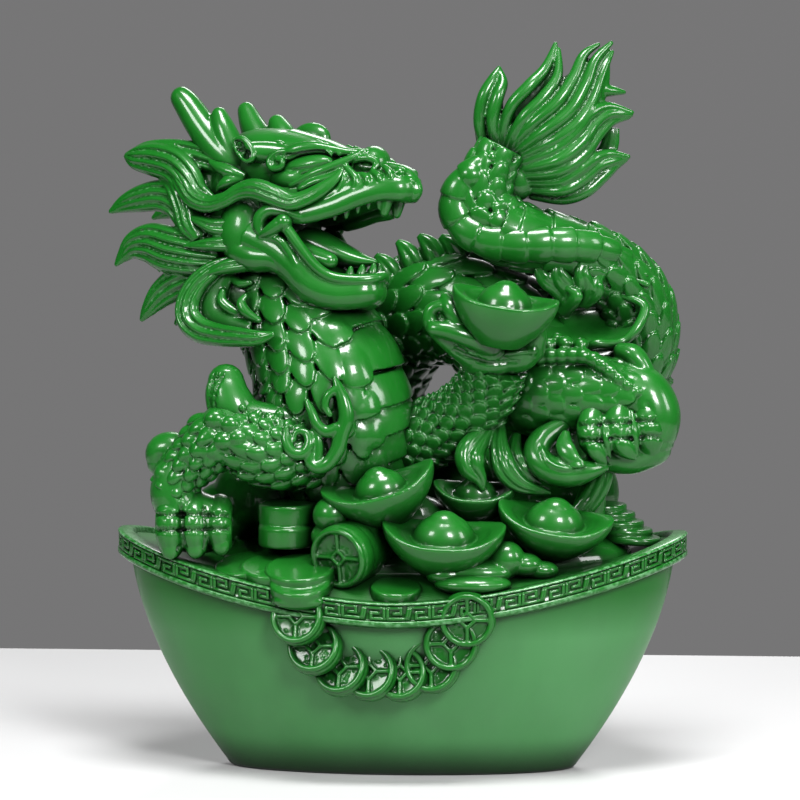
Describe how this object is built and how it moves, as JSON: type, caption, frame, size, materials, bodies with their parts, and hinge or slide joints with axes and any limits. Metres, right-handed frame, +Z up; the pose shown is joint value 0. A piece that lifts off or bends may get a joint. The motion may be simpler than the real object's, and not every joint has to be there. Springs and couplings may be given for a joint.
{
  "type": "dragon figurine",
  "caption": "Desk figurine: a coiled dragon on a heap of ingots and coins, set in a boat-shaped ingot base with a flat underside.",
  "frame": {"origin": "centre of the flat underside of the base", "axes": "+Z up, +X from the dragon's head side towards its tail side, -Y towards the front, where the coin garland hangs"},
  "size_m": [0.1463, 0.0758, 0.1824],
  "materials": {
    "hull_resin": "satin dyed resin, dusted paler towards the foot",
    "band_resin": "glossy dyed resin, pale dust in the fret",
    "coin_resin": "semi-gloss dyed resin, pale dust in the recesses",
    "treasure_resin": "glossy dyed resin",
    "scale_resin": "glossy dyed resin, dark between the scales with traces of pale dust",
    "skin_resin": "glossy dyed resin",
    "hair_resin": "glossy dyed resin, pale dust along the grooves"
  },
  "bodies": {
    "root": {"ingot_hull": "hull_resin", "rim_band": "band_resin", "treasure_bed": "treasure_resin", "garland_coin_1": "coin_resin", "garland_coin_2": "coin_resin", "garland_coin_3": "coin_resin", "garland_coin_4": "coin_resin", "garland_coin_5": "coin_resin", "garland_coin_6": "coin_resin", "garland_coin_7": "coin_resin", "garland_coin_8": "coin_resin", "ingot_1": "treasure_resin", "ingot_2": "treasure_resin", "ingot_3": "treasure_resin", "ingot_4": "treasure_resin", "claw_ingot": "treasure_resin", "pearl": "treasure_resin", "coin_roll": "treasure_resin", "thick_discs": "treasure_resin", "deck_coins": "treasure_resin", "rim_slabs": "treasure_resin", "nuggets": "treasure_resin", "side_coin_stack": "treasure_resin", "fist_prop": "treasure_resin", "chest": "scale_resin", "body_rise": "scale_resin", "body_arch": "scale_resin", "haunch": "scale_resin", "body_coil": "scale_resin", "coil_plates": "scale_resin", "tail": "scale_resin", "tail_flame": "hair_resin", "dorsal_spikes": "scale_resin", "head_upper": "skin_resin", "lower_jaw": "skin_resin", "tongue": "skin_resin", "teeth": "skin_resin", "eyes": "skin_resin", "cheek_pads": "skin_resin", "horn_near": "skin_resin", "horn_far": "skin_resin", "ear_near": "skin_resin", "ear_far": "skin_resin", "moustache_near": "hair_resin", "moustache_far": "hair_resin", "mane_near": "hair_resin", "mane_far": "hair_resin", "beard": "hair_resin", "collar_near": "hair_resin", "collar_far": "hair_resin", "foreleg_near": "scale_resin", "forepaw_near": "skin_resin", "foreleg_raised": "scale_resin", "claw_raised": "skin_resin", "leg_flames": "hair_resin", "hind_leg_near": "scale_resin", "hind_fist_near": "skin_resin", "hind_leg_far": "scale_resin", "hind_paw_far": "skin_resin"}
  },
  "joints": []
}
